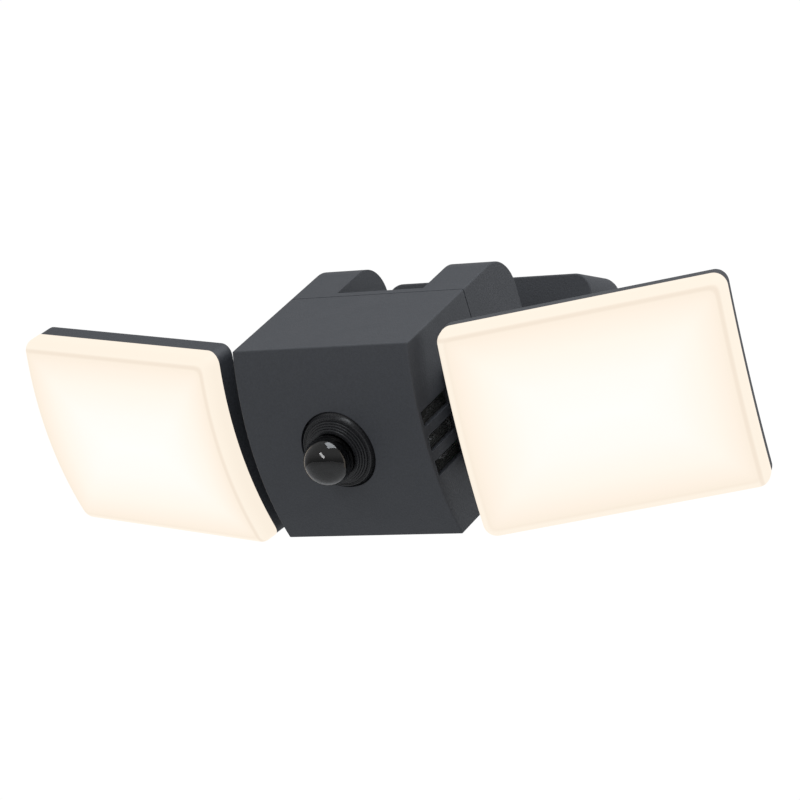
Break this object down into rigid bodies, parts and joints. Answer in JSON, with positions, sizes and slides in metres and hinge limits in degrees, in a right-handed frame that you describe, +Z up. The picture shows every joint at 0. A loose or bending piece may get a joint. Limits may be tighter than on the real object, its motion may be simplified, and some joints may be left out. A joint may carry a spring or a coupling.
{
  "type": "floodlight security camera",
  "caption": "Wall-mounted security camera with a bowed square body, a smoked dome lens, side vents, a tilt hinge on a wall box, and a bowed opal panel light on a swivelling arm at each side.",
  "frame": {"origin": "centre of the wall box back face, where it meets the wall", "axes": "+Z up, -Y out of the wall in the direction the camera looks, +X to the right of a viewer in front"},
  "size_m": [0.3979, 0.1929, 0.1371],
  "materials": {
    "dark_plastic": "fine-textured anthracite moulding",
    "dark_metal": "matt anthracite powder coat",
    "zinc_steel": "zinc-plated sheet",
    "steel_screws": "zinc-plated",
    "brass_screws": "bright",
    "black_rubber": "matt",
    "nylon_washer": "natural nylon",
    "white_nylon": "natural",
    "black_ring": "satin black",
    "smoked_dome": "smoked, glossy",
    "lens_glass": "coated lens",
    "sensor_glass": "sensor window",
    "ir_lens": "clear epoxy",
    "circuit_board": "green solder mask",
    "shield_can": "tin-plated",
    "transformer_tape": "polyester tape",
    "capacitor_can": "shrink sleeve",
    "speaker_metal": "stamped basket",
    "vent_mesh": "black woven mesh",
    "opal_diffuser": "opal, lit from inside",
    "led_board_white": "white solder mask",
    "led_phosphor": "phosphor"
  },
  "bodies": {
    "wall_mount": {"wall_plate": "zinc_steel", "wall_box": "dark_plastic", "wall_gasket": "black_rubber", "box_screws": "steel_screws", "cable_grommet": "black_rubber", "terminal_block": "white_nylon", "terminal_screws": "brass_screws", "arm": "dark_metal", "arm_screws": "steel_screws", "hinge_washers": "nylon_washer"},
    "camera_body": {"antenna": "brass_screws", "bracket_screws": "steel_screws", "capacitors": "capacitor_can", "dome_cover": "smoked_dome", "dome_seal": "black_rubber", "front_shell": "dark_plastic", "hinge_caps": "dark_plastic", "image_sensor": "sensor_glass", "ir_board": "circuit_board", "ir_leds": "ir_lens", "lens_barrel": "black_ring", "lens_glass": "lens_glass", "lens_holder": "black_ring", "lens_ring": "black_ring", "main_board": "circuit_board", "main_chips": "shield_can", "power_board": "circuit_board", "rear_shell": "dark_plastic", "sensor_board": "circuit_board", "shell_screws": "steel_screws", "shell_seal": "black_rubber", "siren": "black_ring", "speaker": "speaker_metal", "swivel_bracket_left": "dark_metal", "swivel_bracket_right": "dark_metal", "swivel_pins": "steel_screws", "tilt_bolt": "steel_screws", "tilt_nut": "steel_screws", "transformer": "transformer_tape", "vent_meshes": "vent_mesh", "wire_grommet": "black_rubber"},
    "left_arm": {"light_arm_left": "dark_metal"},
    "left_light": {"diffuser_left": "opal_diffuser", "light_back_left": "dark_plastic", "light_seal_left": "black_rubber", "led_board_left": "led_board_white", "leds_left": "led_phosphor", "light_bracket_left": "dark_metal", "light_screws_left": "steel_screws", "light_pin_left": "steel_screws"},
    "right_arm": {"light_arm_right": "dark_metal"},
    "right_light": {"diffuser_right": "opal_diffuser", "light_back_right": "dark_plastic", "light_seal_right": "black_rubber", "led_board_right": "led_board_white", "leds_right": "led_phosphor", "light_bracket_right": "dark_metal", "light_screws_right": "steel_screws", "light_pin_right": "steel_screws"}
  },
  "joints": [
    {"name": "camera_tilt", "type": "hinge", "parent": "wall_mount", "child": "camera_body", "pos_m": [0, -0.089, 0], "axis": [1, 0, 0], "range_deg": [-40, 45]},
    {"name": "left_swivel", "type": "hinge", "parent": "camera_body", "child": "left_arm", "pos_m": [-0.066, -0.13378, -0.02724], "axis": [0, -0.5, 0.866], "range_deg": [-25.6, 10.4]},
    {"name": "left_tilt", "type": "hinge", "parent": "left_arm", "child": "left_light", "pos_m": [-0.12382, -0.13031, -0.02524], "axis": [0.9686, -0.2154, -0.1243], "range_deg": [-20.9, 17.1]},
    {"name": "right_swivel", "type": "hinge", "parent": "camera_body", "child": "right_arm", "pos_m": [0.066, -0.13378, -0.02724], "axis": [0, -0.5, 0.866], "range_deg": [-16, 20]},
    {"name": "right_tilt", "type": "hinge", "parent": "right_arm", "child": "right_light", "pos_m": [0.12315, -0.12544, -0.02243], "axis": [0.9397, 0.2962, 0.171], "range_deg": [-11.1, 26.9]}
  ]
}
